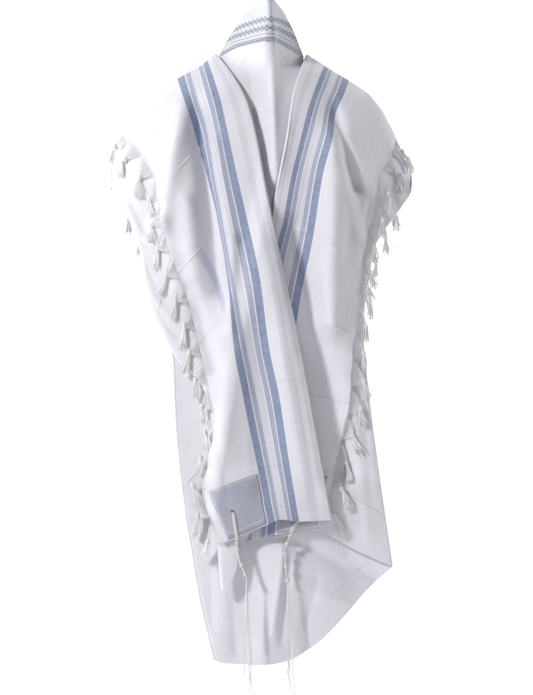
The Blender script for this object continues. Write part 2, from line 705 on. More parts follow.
def dyed(tree, colour, mask, strength, other):
    # A colour with another one over it where the mask is 1
    return mixColour(tree, times(tree, mask, strength), colour, other)


def cutPlace(tree):
    # Where a point lies in the flat cut: metres across it and metres down it
    parts = addNode(tree, "ShaderNodeSeparateXYZ")
    tree.links.new(addNode(tree, "ShaderNodeUVMap", uv_map="cut").outputs[0], parts.inputs[0])
    return parts.outputs[0], parts.outputs[1]


def stepRamp(tree, value, low, high, stops, smooth="CONSTANT"):
    # A ramp over low to high with (place, grey) stops
    spread = addNode(tree, "ShaderNodeMapRange")
    tree.links.new(value, spread.inputs["Value"])
    spread.inputs["From Min"].default_value, spread.inputs["From Max"].default_value = low, high
    ramp = addNode(tree, "ShaderNodeValToRGB")
    ramp.color_ramp.interpolation = smooth
    elements = ramp.color_ramp.elements
    for k, (place, grey) in enumerate(stops):
        share = (place - low) / (high - low)
        stop = elements[k] if k < 2 else elements.new(share)
        stop.position, stop.color = share, (grey, grey, grey, 1.0)
    tree.links.new(spread.outputs[0], ramp.inputs[0])
    return ramp.outputs["Color"]


def waveOf(tree, value, pitch, sharpness=1.0):
    # A wave from 0 to 1 along a length
    wave = sumWith(tree, mathNode(tree, "SINE", times(tree, value, 2 * math.pi / pitch)), 0.5, 0.5)
    return wave if sharpness == 1.0 else mathNode(tree, "POWER", wave, sharpness)


def noiseOf(tree, scale, detail=3.0):
    place = addNode(tree, "ShaderNodeTexCoord").outputs["Object"]
    node = addNode(tree, "ShaderNodeTexNoise")
    node.inputs["Scale"].default_value = scale
    node.inputs["Detail"].default_value = detail
    tree.links.new(place, node.inputs["Vector"])
    return node.outputs["Fac"]


def bumpInto(tree, shader, height, strength, distance):
    bump = addNode(tree, "ShaderNodeBump")
    bump.inputs["Strength"].default_value = strength
    bump.inputs["Distance"].default_value = distance
    tree.links.new(height, bump.inputs["Height"])
    tree.links.new(bump.outputs[0], shader.inputs["Normal"])


def streakOf(tree, crosswise, lengthwise):
    # Uneven threads: a noise drawn out along one direction of the cloth
    place = addNode(tree, "ShaderNodeCombineXYZ")
    tree.links.new(times(tree, crosswise, 420.0), place.inputs[0])
    tree.links.new(times(tree, lengthwise, 9.0), place.inputs[1])
    noise = addNode(tree, "ShaderNodeTexNoise", noise_dimensions="2D")
    noise.inputs["Scale"].default_value = 1.0
    noise.inputs["Detail"].default_value = 2.0
    tree.links.new(place.outputs[0], noise.inputs["Vector"])
    return noise.outputs[0]


def letThrough(tree, shader, colour, share):
    # Thin cloth and loose yarn pass some of the light from behind
    through = addNode(tree, "ShaderNodeBsdfTranslucent")
    tree.links.new(colour, through.inputs["Color"])
    mixed = addNode(tree, "ShaderNodeMixShader")
    mixed.inputs[0].default_value = share
    tree.links.new(shader.outputs[0], mixed.inputs[1])
    tree.links.new(through.outputs[0], mixed.inputs[2])
    tree.links.new(mixed.outputs[0], tree.nodes["Material Output"].inputs["Surface"])


weave = {
    "white": (0.905, 0.894, 0.940, 1.0),
    "shade": (0.815, 0.802, 0.865, 1.0),  # where the cloth is thinner or its yarn greyer
    "roughness": 0.72,
    "threadPitch": 0.0011,
    "bump": 0.35,
    "streaks": 1.6,
    "sheen": 0.25,
    "glow": 0.07,  # share of light that passes through
}
blueStripes = {
    "deep": (0.105, 0.170, 0.350, 1.0),
    "middle": (0.215, 0.285, 0.490, 1.0),
    "twillPitch": 0.0028,
    # (start, end, share of blue), across the wing from its fringed edge
    "rows": [
        (0.1200, 0.1360, 1.00), (0.1385, 0.1485, 0.72), (0.1506, 0.1518, 0.50), (0.1542, 0.1554, 0.50),
        (0.1578, 0.1590, 0.50), (0.1614, 0.1626, 0.50), (0.1665, 0.1765, 0.72), (0.1790, 0.1950, 1.00),
    ],
}
whiteStripe = {
    "start": 0.222,  # woven white on white
    "end": 0.240,
    "hatchPitch": 0.0062,
    "shade": (0.42, 0.44, 0.54, 1.0),
}
selvedge = {"middle": 0.0022, "half": 0.0011, "colour": (0.50, 0.50, 0.58, 1.0)}
# Lines pressed into the cloth where it lay folded in its pack
pressed = {"pitch": 0.165, "start": 0.115, "half": 0.0042, "depth": 17.0}
# The stripe of a lower layer that shows faintly through the sheer cloth
seenThrough = {
    "slope": 0.257,
    "middle": 0.209,
    "strength": 0.62,
    "stretch": [(0.41, 0.0), (0.47, 1.0), (0.58, 1.0), (0.65, 0.0)],  # (down the cloth, how clear)
    "colour": (0.52, 0.57, 0.72, 1.0),
}


def stripedColour(tree, colour, across, down, slub):
    # The colour with its stripes, and masks of the blue ones and of the white one's relief
    stops = [(0.100, 0.0)]
    for start, end, share in blueStripes["rows"]:
        stops += [(start, share), (end, 0.0)]
    blue = stepRamp(tree, across, 0.100, 0.210, stops)
    twill = waveOf(tree, mathNode(tree, "ADD", across, down), blueStripes["twillPitch"])
    dye = mixColour(tree, times(tree, twill, 0.55), blueStripes["deep"], blueStripes["middle"])
    dye = dyed(tree, dye, slub, 0.35, weave["white"])
    colour = dyed(tree, colour, blue, 0.93, dye)
    woven = mathNode(tree, "COMPARE", across, selvedge["middle"], selvedge["half"])
    colour = dyed(tree, colour, woven, 0.55, selvedge["colour"])
    satinStops = [(0.201, 0.0), (whiteStripe["start"], 1.0), (whiteStripe["end"], 0.0)]
    satin = stepRamp(tree, across, 0.200, 0.260, satinStops)
    hatch = waveOf(tree, sumWith(tree, across, 1.2, down), whiteStripe["hatchPitch"], 2.0)
    marked = times(tree, satin, hatch)
    return dyed(tree, colour, marked, 0.55, whiteStripe["shade"]), blue, satin, marked


def lowerStripe(tree, across, down):
    # Mask of the lower layer's stripe, a soft slanting line along one stretch of the cloth
    slanted = sumWith(tree, down, seenThrough["slope"], across)
    away = distanceFrom(tree, slanted, seenThrough["middle"])
    line = stepRamp(tree, away, 0.0, 0.02, [(0.0, 1.0), (0.0065, 0.9), (0.0095, 0.0)], "EASE")
    return times(tree, line, stepRamp(tree, down, 0.40, 0.70, seenThrough["stretch"], "EASE"))


def pressedLines(tree, down):
    # Creases across the cloth at even spaces, which show in some places and not in others
    away = mathNode(tree, "PINGPONG", mathNode(tree, "ADD", down, -pressed["start"]), pressed["pitch"] / 2)
    crease = stepRamp(tree, away, 0.0, 0.01, [(0.0, 1.0), (pressed["half"], 0.0)], "LINEAR")
    places = stepRamp(tree, noiseOf(tree, 11.0, 2.0), 0.0, 1.0, [(0.42, 0.0), (0.62, 1.0)], "LINEAR")
    return times(tree, crease, places)


def clothMaterial(name, striped, showsThrough=False):
    made, tree, shader = newMaterial(name, weave["roughness"], weave["sheen"], (0.86, 0.90, 1.0, 1.0))
    across, down = cutPlace(tree)
    warp = waveOf(tree, across, weave["threadPitch"])
    weft = waveOf(tree, down, weave["threadPitch"] * 1.15)
    threads = strongest(tree, (warp, weft))
    slub = noiseOf(tree, 160.0, 2.0)
    streaks = times(tree, streakOf(tree, across, down), streakOf(tree, down, across))
    mottled = sumWith(tree, noiseOf(tree, 9.0, 4.0), 0.35, times(tree, slub, 0.20))
    mottled = sumWith(tree, streaks, weave["streaks"], mottled)
    colour = mixColour(tree, mottled, weave["white"], weave["shade"])
    height = sumWith(tree, streaks, 1.4, threads)
    if striped:
        colour, blue, satin, marked = stripedColour(tree, colour, across, down, slub)
        height = sumWith(tree, strongest(tree, (marked, blue)), 0.8, threads)
        tree.links.new(sumWith(tree, satin, -0.22, weave["roughness"]), shader.inputs["Roughness"])
    if showsThrough:
        beneath = lowerStripe(tree, across, down)
        colour = dyed(tree, colour, beneath, seenThrough["strength"], seenThrough["colour"])
    tree.links.new(colour, shader.inputs["Base Color"])
    height = sumWith(tree, pressedLines(tree, down), pressed["depth"], height)
    bumpInto(tree, shader, height, weave["bump"], 0.0004)
    letThrough(tree, shader, colour, weave["glow"])
    return made


satinPatch = {
    "colour": (0.355, 0.362, 0.445, 1.0),
    "light": (0.475, 0.480, 0.565, 1.0),
    "stitch": (0.80, 0.81, 0.86, 1.0),
    "stitchInset": 0.0035,
    "stitchPitch": 0.0036,
    "ribPitch": 0.0009,
    "rumples": 9.0,
}


def patchMaterial():
    made, tree, shader = newMaterial("cornerSatin", 0.38, 0.3, (0.9, 0.92, 1.0, 1.0))
    across, down = cutPlace(tree)
    wide, high = cloth["patchEnd"] - cloth["patchInset"], cloth["patchHigh"] - cloth["patchLow"]
    edge = mathNode(tree, "MINIMUM", across, mathNode(tree, "SUBTRACT", wide, across))
    rim = mathNode(tree, "MINIMUM", down, mathNode(tree, "SUBTRACT", high, down))
    inset = mathNode(tree, "MINIMUM", edge, rim)
    line = mathNode(tree, "COMPARE", inset, satinPatch["stitchInset"], 0.0008)
    ticks = waveOf(tree, mathNode(tree, "ADD", across, down), satinPatch["stitchPitch"])
    stitch = times(tree, line, mathNode(tree, "GREATER_THAN", ticks, 0.35))
    ribs = waveOf(tree, down, satinPatch["ribPitch"])
    colour = mixColour(tree, noiseOf(tree, 30.0), satinPatch["colour"], satinPatch["light"])
    colour = dyed(tree, colour, ribs, 0.15, satinPatch["light"])
    colour = dyed(tree, colour, stitch, 0.7, satinPatch["stitch"])
    tree.links.new(colour, shader.inputs["Base Color"])
    height = sumWith(tree, line, -1.0, times(tree, ribs, 0.25))
    height = sumWith(tree, noiseOf(tree, 55.0, 1.0), satinPatch["rumples"], height)
    bumpInto(tree, shader, height, 0.5, 0.0005)
    return made


bandOrnament = {
    "ground": (0.600, 0.612, 0.665, 1.0),
    "lightRib": (0.86, 0.87, 0.90, 1.0),
    "fleck": (0.60, 0.62, 0.68, 1.0),
    "thread": (0.070, 0.085, 0.130, 1.0),
    "borders": ((0.0030, 0.0008), (0.0062, 0.0008), (0.0135, 0.0005)),  # (above the lower edge, half width)
    "rows": (0.0255, 0.0430),  # middles of the two rows of motifs
    "pitch": 0.0130,
    "size": 0.0072,
}


def bandMaterial():
    # Two rows of small lozenges and dots above three border lines
    made, tree, shader = newMaterial("neckbandBrocade", 0.42, 0.2)
    shader.inputs["Metallic"].default_value = 0.12
    across, up = cutPlace(tree)
    marks = [mathNode(tree, "COMPARE", up, away, half) for away, half in bandOrnament["borders"]]
    pitch, size = bandOrnament["pitch"], bandOrnament["size"]
    for k, middle in enumerate(bandOrnament["rows"]):
        shifted = mathNode(tree, "ADD", across, 10.0 * pitch + 0.5 * pitch * k)
        local = distanceFrom(tree, mathNode(tree, "MODULO", shifted, pitch), pitch / 2)
        rise = distanceFrom(tree, up, middle)
        lozenge = mathNode(tree, "ADD", local, rise)
        dot = mathNode(tree, "ADD", mathNode(tree, "SUBTRACT", pitch / 2, local), times(tree, rise, 0.55))
        marks.append(mathNode(tree, "COMPARE", lozenge, size * 0.80, size * 0.17))
        marks.append(mathNode(tree, "LESS_THAN", lozenge, size * 0.30))
        marks.append(mathNode(tree, "LESS_THAN", dot, size * 0.2))
    ornament = strongest(tree, marks)
    ribs = waveOf(tree, across, 0.0010)
    colour = mixColour(tree, times(tree, ribs, 0.18), bandOrnament["ground"], bandOrnament["lightRib"])
    colour = dyed(tree, colour, noiseOf(tree, 500.0, 1.0), 0.30, bandOrnament["fleck"])
    colour = dyed(tree, colour, ornament, 0.85, bandOrnament["thread"])
    tree.links.new(colour, shader.inputs["Base Color"])
    bumpInto(tree, shader, sumWith(tree, ribs, 0.25, ornament), 0.6, 0.0006)
    return made


yarn = {
    "fringe": (0.985, 0.980, 0.970, 1.0),
    "tassel": (0.950, 0.935, 0.920, 1.0),
    "shade": (0.930, 0.925, 0.935, 1.0),
    "twist": 900.0,
    "glow": 0.22,
}


def yarnMaterial(name, colour):
    made, tree, shader = newMaterial(name, 0.85, 0.35)
    fine = noiseOf(tree, yarn["twist"], 2.0)
    mottled = sumWith(tree, fine, 0.6, times(tree, noiseOf(tree, 40.0, 2.0), 0.3))
    mixed = mixColour(tree, mottled, colour, yarn["shade"])
    tree.links.new(mixed, shader.inputs["Base Color"])
    bumpInto(tree, shader, fine, 0.7, 0.0005)
    letThrough(tree, shader, mixed, yarn["glow"])
    return made


# Threads


class ThreadMesh:
    # Many thin tubes gathered into one mesh
    def __init__(self):
        self.points, self.faces = [], []

    def add(self, path, radius, sides=5):
        path = np.asarray(path, float)
        count = len(path)
        radius = np.broadcast_to(np.asarray(radius, float), (count,))
        tangent = unit(np.gradient(path, axis=0))
        guide = np.array([0.0, 0.0, 1.0]) if abs(tangent[0][2]) < 0.9 else np.array([1.0, 0.0, 0.0])
        side = np.cross(tangent[0], guide)
        base = len(self.points)
        for i in range(count):
            side = side - tangent[i] * np.dot(side, tangent[i])
            side = side / np.linalg.norm(side)
            other = np.cross(tangent[i], side)
            for k in range(sides):
                a = 2 * math.pi * k / sides
                self.points.append(path[i] + (side * math.cos(a) + other * math.sin(a)) * radius[i])
        for i in range(count - 1):
            for k in range(sides):
                a, b = base + i * sides + k, base + i * sides + (k + 1) % sides
                self.faces.append((a, b, b + sides, a + sides))
        self.faces.append(tuple(range(base + sides - 1, base - 1, -1)))
        self.faces.append(tuple(base + (count - 1) * sides + k for k in range(sides)))

    def wrap(self, path, wrapRadius, threadRadius, turns, sides=4, perTurn=9):
        # A thread wound round a path
        path = np.asarray(path, float)
        count = int(turns * perTurn) + 1
        shares = np.linspace(0.0, 1.0, count)
        middle = along(path, shares)
        tangent = unit(np.gradient(middle, axis=0))
        guide = np.array([0.0, 1.0, 0.0]) if abs(tangent[0][1]) < 0.9 else np.array([1.0, 0.0, 0.0])
        first = unit(np.cross(tangent, guide))
        second = np.cross(tangent, first)
        a = shares[:, None] * turns * 2 * math.pi
        wrapRadius = np.broadcast_to(np.asarray(wrapRadius, float), (count,))[:, None]
        self.add(middle + (first * np.cos(a) + second * np.sin(a)) * wrapRadius, threadRadius, sides)

    def finish(self, name, material):
        return meshFrom(name, self.points, self.faces, material)


def bezier(a, b, c, count):
    t = np.linspace(0.0, 1.0, count)[:, None]
    return (1 - t) ** 2 * a + 2 * t * (1 - t) * b + t**2 * c


# Camera, light and stage

cameraSetup = {
    "target": (0.009, -0.140, -0.595),
    "distance": 4.5,
    "viewHeight": 1.39,  # of the photograph's frame, in the plane of the back
}


def buildCamera():
    data = bpy.data.cameras.new("camera")
    camera = bpy.data.objects.new("camera", data)
    bpy.context.scene.collection.objects.link(camera)
    x, y, z = cameraSetup["target"]
    camera.location = (x, y - cameraSetup["distance"], z)
    camera.rotation_euler = (math.pi / 2, 0.0, 0.0)
    data.sensor_width = 36.0
    data.lens = data.sensor_width * cameraSetup["distance"] / cameraSetup["viewHeight"]
    bpy.context.scene.camera = camera


studio = {
    "floor": -1.50,
    "wall": 2.2,  # distance of the backdrop behind the shawl
    "top": 3.6,
    "reach": 7.0,  # to each side and towards the camera
    "colour": (0.93, 0.93, 0.94, 1.0),
    "world": 0.10,
}
# name: (place, aims at, size, power)
lamps = {
    "key": ((-4.6, -3.9, 3.0), (0.0, -0.1, -0.5), 1.0, 355.0),
    "fill": ((1.5, -3.5, 0.7), (0.0, -0.1, -0.5), 1.6, 13.0),
    "front": ((0.4, 2.2, 1.2), (0.0, 0.1, -0.3), 2.0, 12.0),
    "backdropLeft": ((-2.4, 0.6, 0.6), (-0.8, 2.2, -0.6), 1.6, 50.0),
    "backdropRight": ((2.4, 0.6, 0.6), (0.8, 2.2, -0.6), 1.6, 50.0),
}


def buildStudio():
    profile = [(-studio["reach"], studio["floor"]), (studio["wall"] - 1.0, studio["floor"])]
    for k in range(1, 13):
        a = k / 12 * math.pi / 2
        profile.append((studio["wall"] - 1.0 + math.sin(a), studio["floor"] + 1.0 - math.cos(a)))
    profile.append((studio["wall"], studio["top"]))
    points = [(x, y, z) for x in (-studio["reach"], studio["reach"]) for y, z in profile]
    count = len(profile)
    faces = [(i, i + count, i + count + 1, i + 1) for i in range(count - 1)]
    data = bpy.data.meshes.new("backdrop")
    data.from_pydata(points, [], faces)
    data.polygons.foreach_set("use_smooth", [True] * len(faces))
    made, tree, shader = newMaterial("backdropPaper", 0.9)
    colour = mixColour(tree, noiseOf(tree, 2.0), studio["colour"], (0.90, 0.90, 0.92, 1.0))
    tree.links.new(colour, shader.inputs["Base Color"])
    data.materials.append(made)
    obj = bpy.data.objects.new("backdrop", data)
    bpy.context.scene.collection.objects.link(obj)
    for name, (place, aim, size, power) in lamps.items():
        light = bpy.data.lights.new(name, "AREA")
        light.shape, light.size, light.energy = "DISK", size, power
        lamp = bpy.data.objects.new(name, light)
        lamp.location = place
        lamp.rotation_euler = (Vector(aim) - Vector(place)).to_track_quat("-Z", "Y").to_euler()
        bpy.context.scene.collection.objects.link(lamp)
    world = bpy.data.worlds.new("studioAir")
    bpy.context.scene.world = world
    world.use_nodes = True
    world.node_tree.nodes["Background"].inputs[0].default_value = (0.95, 0.97, 1.0, 1.0)
    world.node_tree.nodes["Background"].inputs[1].default_value = studio["world"]
    bpy.context.scene.view_settings.view_transform = "Standard"


# The sheets


def wingColumns():
    # Widths across a wing: fine ones that keep the columns of patch and eyelet, then the turned fold
    keys = [0.0] + [cloth[key] for key in ("patchInset", "eyeletStart", "eyeletEnd", "patchEnd", "flatEnd")]
    columns = []
    for a, b in zip(keys, keys[1:]):
        parts = max(1, math.ceil((b - a) / layers["grain"]))
        columns += [a + (b - a) * k / parts for k in range(parts)]
    count = layers["rollSteps"] + 1
    turned = cloth["wingWidth"] * (1 - layers["rollShare"] * (1 - np.arange(count) / (count - 1)))
    return np.concatenate((columns + [cloth["flatEnd"]], turned))


def buildWing(side, material):
    left = side == "left"
    columns = wingColumns()
    grids, rowsOf = [], []
    for front in (False, True):
        rails = sideRails(side, front)
        widths, lines = [0.0, cloth["bandStart"], cloth["bandEnd"], cloth["wingWidth"]], list(rails["wing"])
        if left and not front:
            widths.insert(2, cloth["hiddenStripe"])
            lines.insert(2, leftBandHidden)
        rows = fineRows(front, foldLength(side, front), layers["grain"] * 1.4)
        flat = betweenRails(lines, widths, columns, rails["wingHem"], front, rows)
        grid = lift(flat, 2.0, front, left, (None, -1))
        x, z = flat[..., 0], flat[..., 1]
        away = ease(cloth["wingWidth"] - columns, 0.006, 0.020)[None, :]
        away = away * ease(belowShoulder(x, z), 0.0, 0.05)
        relief = wrinkles(x, z, 3 + front + 2 * left, 0.075, 0.0014)
        if not front:
            relief = relief + foldHeight(x, z, wingCreases[side], crisp=True)
        edge = np.sin(z * 2 * math.pi / 0.058 + 1.3 * left) * np.exp(-columns / 0.020)[None, :] * 0.0022
        grids.append(grid + outward(grid) * ((relief + edge) * away)[..., None])
        rowsOf.append(rows)
    joined = np.concatenate((grids[0][::-1], grids[1][1:]))
    cut = cutOf(joined, columns)
    low, high = (nearest(columns, cloth[key]) for key in ("eyeletStart", "eyeletEnd"))
    crest = len(rowsOf[0]) - 1
    holes = []
    for front, way in ((False, -1), (True, 1)):
        ends = [crest + way * nearest(rowsOf[front], rowCount(front) - k) for k in (3, 4)]
        holes.append((min(ends), max(ends), low, high))
    obj = sheetObject(f"{side}WingCloth", joined, cut, material, holes)
    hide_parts(f"{side}_wing")
    return {"obj": obj, "grids": grids, "rows": rowsOf, "columns": columns, "joined": joined, "cut": cut}


def buildTurn(side, material):
    left = side == "left"
    grids = []
    for front in (False, True):
        rails = sideRails(side, front)
        parts = turnedParts(cloth["turnWidth"], layers["plainGrain"])
        length = foldLength(side, front)
        rows = fineRows(front, length, layers["grain"] * 1.4)
        outer, inner = (railStations(rail, front, rows, length) for rail in rails["turn"])
        line = leftShoulder if left else rightShoulder
        ends = [nearLine(line, rail[0, 0], rail[0, 1])[2] for rail in (outer, inner)]
        top = along(line, ends[0] + (ends[1] - ends[0]) * parts)
        flat = spread(top, hemAt(rails["turnHem"], parts), outer, inner, parts)
        grid = lift(flat, 1.0, front, left, (-layers["outerRoll"] if left else -1, 1))
        x, z = flat[..., 0], flat[..., 1]
        away = ease(np.minimum(parts, 1 - parts), 0.02, 0.08)[None, :]
        away = away * ease(belowShoulder(x, z), 0.0, 0.05)
        relief = wrinkles(x, z, 11 + front + 2 * left, 0.060, 0.0012)
        if not front:
            relief = relief + foldHeight(x, z, turnCreases[side], crisp=True)
        grids.append(grid + outward(grid) * (relief * away)[..., None])
    joined = np.concatenate((grids[0][::-1], grids[1][1:]))
    cut = cutOf(joined, parts * cloth["turnWidth"])
    obj = sheetObject(f"{side}TurnCloth", joined, cut, material)
    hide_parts(f"{side}_turn")
    return {"obj": obj, "joined": joined, "cut": cut}


napeShares = (0.36, 0.64)
underRoll = 0.03


def panelBack():
    plainGrain = layers["plainGrain"]
    plainPart = np.linspace(underRoll, 1.0, math.ceil(cloth["turnWidth"] / plainGrain))[:-1]
    turnedPart = turnedParts(cloth["turnWidth"], plainGrain, high=False)[:-1]
    napePart = np.linspace(0.0, 1.0, math.ceil(cloth["napeWidth"] / plainGrain))[:-1]
    top = np.concatenate((
        along(leftShoulder, 1.0 - plainPart), along(napeEdge, napePart),
        along(rightShoulder, 1.0 - np.concatenate(([1.0], turnedPart[::-1]))),
    ))
    shares = np.concatenate((
        np.where(plainPart > underRoll, plainPart * napeShares[0], 0.0),
        napeShares[0] + (napeShares[1] - napeShares[0]) * napePart,
        1.0 - np.concatenate(([1.0], turnedPart[::-1])) * (1.0 - napeShares[1]),
    ))
    rows = fineRows(False, foldLength("left", False), plainGrain)
    left = railStations(leftPanelEdge, False, rows, foldLength("left", False))
    right = railStations(rightTurnFold, False, rows, foldLength("right", False))
    flat = spread(top, hemAt(panelHem, shares), left, right, shares)
    return flat, shares, (len(plainPart), len(napePart)), rows


def buildPanel(material):
    flat, shares, counts, rows = panelBack()
    back = lift(flat, 0.0, turns=(None, 1))
    x, z = flat[..., 0], flat[..., 1]
    away = ease(1 - shares, 0.01, 0.05)[None, :] * ease(rows, 0.0, 3.0)[:, None]
    relief = wrinkles(x, z, 21, 0.085, 0.0016) + foldHeight(x, z, panelCreases, crisp=True)
    back = back + outward(back) * (relief * away)[..., None]
    cut = cutOf(back, shares * cloth["panelWidth"])
    made, cuts = [sheetObject("backPanelCloth", back, cut, material)], [cut]
    for side in ("left", "right"):
        left = side == "left"
        half = slice(0, counts[0] + 1) if left else slice(None, -(len(shares) - sum(counts)) - 1, -1)
        crest = flat[0][half]
        rails = sideRails(side, front=True)
        line = leftShoulder if left else rightShoulder
        parts = 1.0 - nearLine(line, crest[:, 0], crest[:, 1])[2]
        length = foldLength(side, True)
        edge = rails["turn"][0]
        if left:
            edge = [tuple(crest[0])] + [(px * 0.985, pz) for px, pz in edge[1:]]
        frontGrain = fineRows(True, length, layers["plainGrain"])
        outer, neck = (railStations(rail, True, frontGrain, length) for rail in (edge, rails["neck"]))
        under = spread(crest, hemAt(rails["panelHem"], parts), outer, neck, parts)
        grid = lift(under, 0.0, True, turns=(None if left else 1, None))
        grid[0] = back[0][half]
        cuts.append(cutOf(grid, parts * cloth["panelFrontWidth"]))
        made.append(sheetObject(f"{side}PanelFront", grid, cuts[-1], material))
    for obj, flatCut in zip(made, cuts):
        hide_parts("back_panel")
    return back


sidePleat = {
    "top": -0.40,
    "depthTop": 0.030,
    "depthLow": 0.115,
    # Section from the panel's edge: (metres across, share of the depth forward)
    "shape": (
        (-0.0005, 0.0), (-0.0060, 0.06), (-0.0090, 0.22), (-0.0080, 0.60), (-0.0040, 0.90), (0.0040, 1.0),
        (0.0110, 0.90), (0.0130, 0.60), (0.0150, 0.40),
    ),
}


def buildSidePleat(back, material):
    edge = back[:, 0]
    edge = edge[edge[:, 2] <= sidePleat["top"]]
    shape = np.array(sidePleat["shape"])
    reach = reachOf(shape * (1.0, 0.08))
    spots = np.linspace(0.0, reach[-1], 34)
    across, forward = curveAt(reach, shape[:, 0], spots), curveAt(reach, shape[:, 1], spots)
    grown = ease(-edge[:, 2], 0.45, 0.90)
    deep = sidePleat["depthTop"] + (sidePleat["depthLow"] - sidePleat["depthTop"]) * grown
    grid = np.repeat(edge[:, None], len(spots), axis=1)
    grid[..., 0] += across[None, :]
    grid[..., 1] += forward[None, :] * deep[:, None]
    wave = np.sin(edge[:, 2] * 17.0)[:, None] * np.sin(forward * math.pi)[None, :] * 0.0012
    grid[..., 0] += wave
    across = np.linalg.norm(np.diff(grid, axis=1), axis=2).mean(axis=0)
    cut = cutOf(grid, sumOf(across))
    obj = sheetObject("leftSidePleatCloth", grid, cut, material)
    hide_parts("left_side_pleat")


def movedOut(grid, distance):
    return grid + outward(grid) * distance


def buildPatches(side, wing, material):
    made = []
    columns = wing["columns"]
    low, high = (nearest(columns, cloth[key]) for key in ("patchInset", "patchEnd"))
    holeLow, holeHigh = (nearest(columns, cloth[key]) - low for key in ("eyeletStart", "eyeletEnd"))
    for front, place in ((False, "back"), (True, "front")):
        grid, rows = wing["grids"][front], wing["rows"][front]
        spots = [nearest(rows, rowCount(front) - k) for k in (5, 4, 3, 2)]
        piece = movedOut(grid, cloth["thickness"] + 0.0006)[spots[0] : spots[3] + 1, low : high + 1]
        count = piece.shape
        across = np.linspace(0, 1, count[1])[None, :] * np.ones((count[0], 1))
        down = np.linspace(0, 1, count[0])[:, None] * np.ones((1, count[1]))
        crown = np.sin(across * math.pi) ** 0.4 * np.sin(down * math.pi) ** 0.4
        pucker = np.sin(across * 31.0) * np.sin(down * 27.0) * (1.0 - crown)
        piece = piece + outward(piece) * (0.0008 * crown + 0.0004 * pucker)[..., None]
        hole = (spots[1] - spots[0], spots[2] - spots[0], holeLow, holeHigh)
        cut = cutOf(piece, columns[low : high + 1] - columns[low])
        obj = sheetObject(f"{side}{place.capitalize()}CornerPatch", piece, cut, material, (hole,), 0.0011)
        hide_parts(f"{side}_{place}_corner_patch")
        made.append((piece, hole))
    return made


neckband = {
    "raise": 0.0030,
    # Its lower border, from the left side to the right: (share of the nape, x, z)
    "low": (
        (0.00, -0.0885, 0.002), (0.28, -0.056, 0.018), (0.55, 0.012, 0.026), (0.78, 0.052, 0.016),
        (1.00, 0.0865, -0.003),
    ),
    "thickness": 0.0012,
    "cutShare": 0.31,  # least share of its rectangle that the curved cut is taken to fill
    "columns": 70,
    "rows": 34,
}


def buildNeckband(material):
    # The band stands on the outside of the nape, from the neck edge down to its lower border
    parts = np.linspace(0.015, 0.985, neckband["columns"])
    down = np.linspace(0.0, 1.0, neckband["rows"])[:, None, None] ** 1.4
    flat = along(napeEdge, parts)[None] * (1 - down) + hemAt(neckband["low"], parts)[None] * down
    x, z = flat[..., 0], flat[..., 1]
    piece = clothPoint(x, z, 0.0 * x + neckband["raise"])
    ridge = foldHeight(x, z, panelCreases[:2], crisp=True)
    ridge = ridge + wrinkles(x, z, 51, 0.030, 0.0012) * ease(down[..., 0], 0.05, 0.3)
    piece = piece + outward(piece) * ridge[..., None]
    across = sumOf(np.linalg.norm(np.diff(piece, axis=1), axis=2).mean(axis=0))
    steps = np.linalg.norm(np.diff(piece, axis=0), axis=2)
    rise = np.concatenate((np.zeros((1, piece.shape[1])), np.cumsum(steps, axis=0)))
    cut = np.stack(np.broadcast_arrays(across[None, :], rise[-1][None, :] - rise), axis=-1)
    obj = sheetObject("neckbandCloth", piece, cut, material, thickness=neckband["thickness"])
    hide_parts("neckband")


fringe = {
    "pitch": 0.056,
    "threads": 10,  # on each side of a tassel
    "fanHalf": 0.025,
    "knotReach": 0.026,
    "out": 0.62,  # how far a tassel stands out from the edge instead of hanging down
    "threadRadius": 0.00040,
    "tuftRadius": 0.00095,
    "tuft": 0.036,
    "tuftSpread": 0.0048,
    "rootInset": 0.0012,
    "knotWrap": (0.0026, 0.0042, 0.0030),  # radius of the wound thread, down the knot
    "knotCore": (0.0018, 0.0034, 0.0043, 0.0036, 0.0022),
}


def frameAlong(frames, reach):
    def at(part):
        return np.array([np.interp(reach, frames[0], part[:, k]) for k in range(3)])

    return at(frames[1]), unit(at(frames[2])), unit(at(frames[3]))


def hungLevel(points, front, leftBack, step=1.55, loose=0.0016):
    # Lays points on the layers they hang over, or leaves them in the air beyond the shoulder line
    x, y, z = points.T
    inside = belowShoulder(x, z)
    level = layerLevel(step, x, z, leftBack) + loose
    laid = clothPoint(x, z, level, front)
    floating = np.abs(y) * (1.0 - ease(inside, 0.0, 0.05))
    way = 1.0 if front else -1.0
    laid[:, 1] = np.maximum(np.abs(laid[:, 1]), floating) * way
    nx, nz = shoulderNormal(x, z)
    push = np.maximum(0.0, level + inside)
    beyond = points + np.stack((nx * push, 0 * nx, nz * push), axis=-1)
    return np.where((inside > 0.0)[:, None], laid, beyond)


